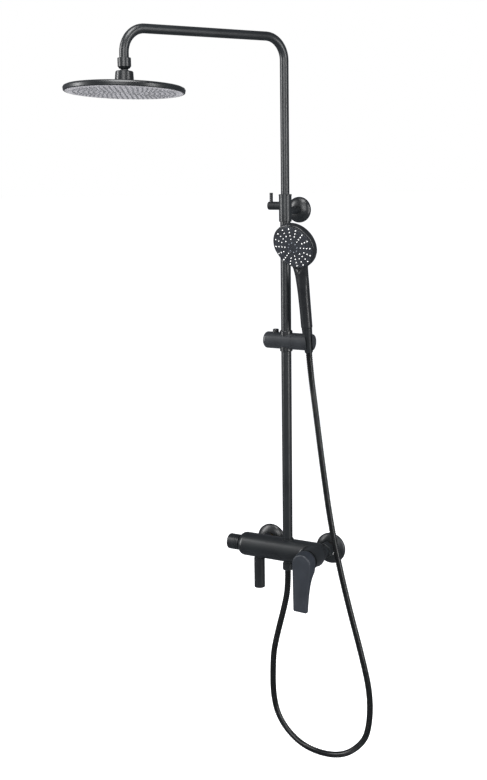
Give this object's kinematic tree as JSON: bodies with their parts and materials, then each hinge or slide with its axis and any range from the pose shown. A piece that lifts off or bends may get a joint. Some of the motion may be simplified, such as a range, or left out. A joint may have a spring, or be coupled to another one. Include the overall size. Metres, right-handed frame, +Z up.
{
  "type": "rainfall shower column",
  "caption": "Exposed shower column with lever mixer, bath spout, telescopic riser, swivelling arm, round rain head, sliding handset holder, hand shower and hose.",
  "frame": {"origin": "on the wall plane, midway between the axes of the two wall inlets", "axes": "+Z up along the riser, +Y into the wall, +X to the right as seen by the user"},
  "size_m": [0.4831, 0.554, 1.584],
  "materials": {
    "black_lacquer": "matte black baked lacquer on brass",
    "bare_brass": "machined brass",
    "black_plastic": "moulded black ABS",
    "valve_plastic": "acetal",
    "rubber_seal": "EPDM rubber",
    "steel_fastener": "stainless steel",
    "hose_jacket": "ribbed black PVC jacket",
    "grey_silicone": "grey silicone and ABS spray plate",
    "white_silicone": "white silicone",
    "aerator_plastic": "moulded acetal"
  },
  "bodies": {
    "fixed": {"inlet_unions": "bare_brass", "escutcheons": "black_lacquer", "union_nuts": "black_lacquer", "inlet_washers": "rubber_seal", "mixer_body": "black_lacquer", "cartridge": "valve_plastic", "cartridge_cover": "black_lacquer", "diverter_valve": "valve_plastic", "spout": "black_lacquer", "aerator": "aerator_plastic", "riser_tube": "black_lacquer", "bracket_sleeve": "black_lacquer", "sleeve_gland": "black_plastic", "wall_flange": "black_lacquer", "wall_plate": "valve_plastic", "wall_screws": "steel_fastener", "hose_nut": "black_lacquer", "hose": "hose_jacket"},
    "diverter": {"diverter_stem": "bare_brass", "diverter_knob": "black_lacquer"},
    "spindle": {"lever_spindle": "bare_brass"},
    "lever": {"mixer_lever": "black_lacquer", "lever_pin": "steel_fastener"},
    "lock": {"lock_screw": "bare_brass", "lock_knob": "black_lacquer", "lock_pin": "black_lacquer"},
    "guide": {"guide_bush": "valve_plastic"},
    "column": {"upper_tube": "black_lacquer", "ball_nut": "black_lacquer"},
    "seat": {"ball_seat": "valve_plastic"},
    "rain_head": {"head_ball": "black_lacquer", "head_hub": "black_lacquer", "head_shell": "black_lacquer", "head_gasket": "rubber_seal", "spray_plate": "grey_silicone"},
    "bush": {"slider_bush": "black_plastic"},
    "slider": {"slider_body": "black_plastic", "brake_pad": "valve_plastic", "slider_plug": "black_plastic", "button_spring": "steel_fastener", "friction_ring": "rubber_seal"},
    "button": {"slider_button": "black_plastic"},
    "cradle": {"cradle": "black_plastic", "hose_cone": "black_lacquer"},
    "handset": {"handset_shell": "black_plastic"},
    "face": {"spray_face": "black_plastic", "face_nozzles": "white_silicone"}
  },
  "joints": [
    {"name": "diverter_turn", "type": "hinge", "parent": "fixed", "child": "diverter", "pos_m": [-0.119, -0.068, 0.004], "axis": [1, 0, 0], "range_deg": [-90, 90]},
    {"name": "temperature_turn", "type": "hinge", "parent": "fixed", "child": "spindle", "pos_m": [0.068, -0.118, 0.004], "axis": [0, 1, 0], "range_deg": [-40, 45]},
    {"name": "flow_lift", "type": "hinge", "parent": "spindle", "child": "lever", "pos_m": [0.068, -0.118, 0.004], "axis": [-0.9997, 0, 0.0262], "range_deg": [0, 18]},
    {"name": "lock_turn", "type": "hinge", "parent": "fixed", "child": "lock", "pos_m": [-0.034, -0.068, 0.763], "axis": [1, 0, 0], "range_deg": [0, 90]},
    {"name": "height_slide", "type": "slide", "parent": "fixed", "child": "guide", "axis": [0, 0, 1], "range_m": [-0.22, 0.06]},
    {"name": "arm_swivel", "type": "hinge", "parent": "guide", "child": "column", "pos_m": [0, -0.068, 0.763], "axis": [0, 0, 1], "range_deg": [-50, 100]},
    {"name": "head_spin", "type": "hinge", "parent": "column", "child": "seat", "pos_m": [-0.16059, -0.4124, 1.035], "axis": [0, 0, 1], "continuous": true},
    {"name": "head_tilt", "type": "hinge", "parent": "seat", "child": "rain_head", "pos_m": [-0.16059, -0.4124, 1.035], "axis": [1, 0, 0], "range_deg": [-15.5, 8]},
    {"name": "slider_height", "type": "slide", "parent": "fixed", "child": "bush", "axis": [0, 0, 1], "range_m": [-0.34, 0.2], "deforming": ["hose"]},
    {"name": "slider_swivel", "type": "hinge", "parent": "bush", "child": "slider", "pos_m": [0, -0.068, 0.476], "axis": [0, 0, 1], "range_deg": [-40, 40], "deforming": ["hose"]},
    {"name": "button_press", "type": "slide", "parent": "slider", "child": "button", "axis": [0, 0, -1], "range_m": [0, 0.003], "stiffness_N_per_m": 600, "deforming": ["button_spring"]},
    {"name": "cradle_tilt", "type": "hinge", "parent": "slider", "child": "cradle", "pos_m": [0.052, -0.068, 0.476], "axis": [1, 0, 0], "range_deg": [-1.5, 45], "deforming": ["hose"]},
    {"name": "handset_twist", "type": "hinge", "parent": "cradle", "child": "handset", "pos_m": [0.052, -0.068, 0.476], "axis": [0, -0.1736, 0.9848], "range_deg": [-25, 25]},
    {"name": "spray_select", "type": "hinge", "parent": "handset", "child": "face", "pos_m": [0.04838, -0.13034, 0.68129], "axis": [-0.1356, -0.9112, -0.3891], "range_deg": [-22.5, 22.5]}
  ]
}
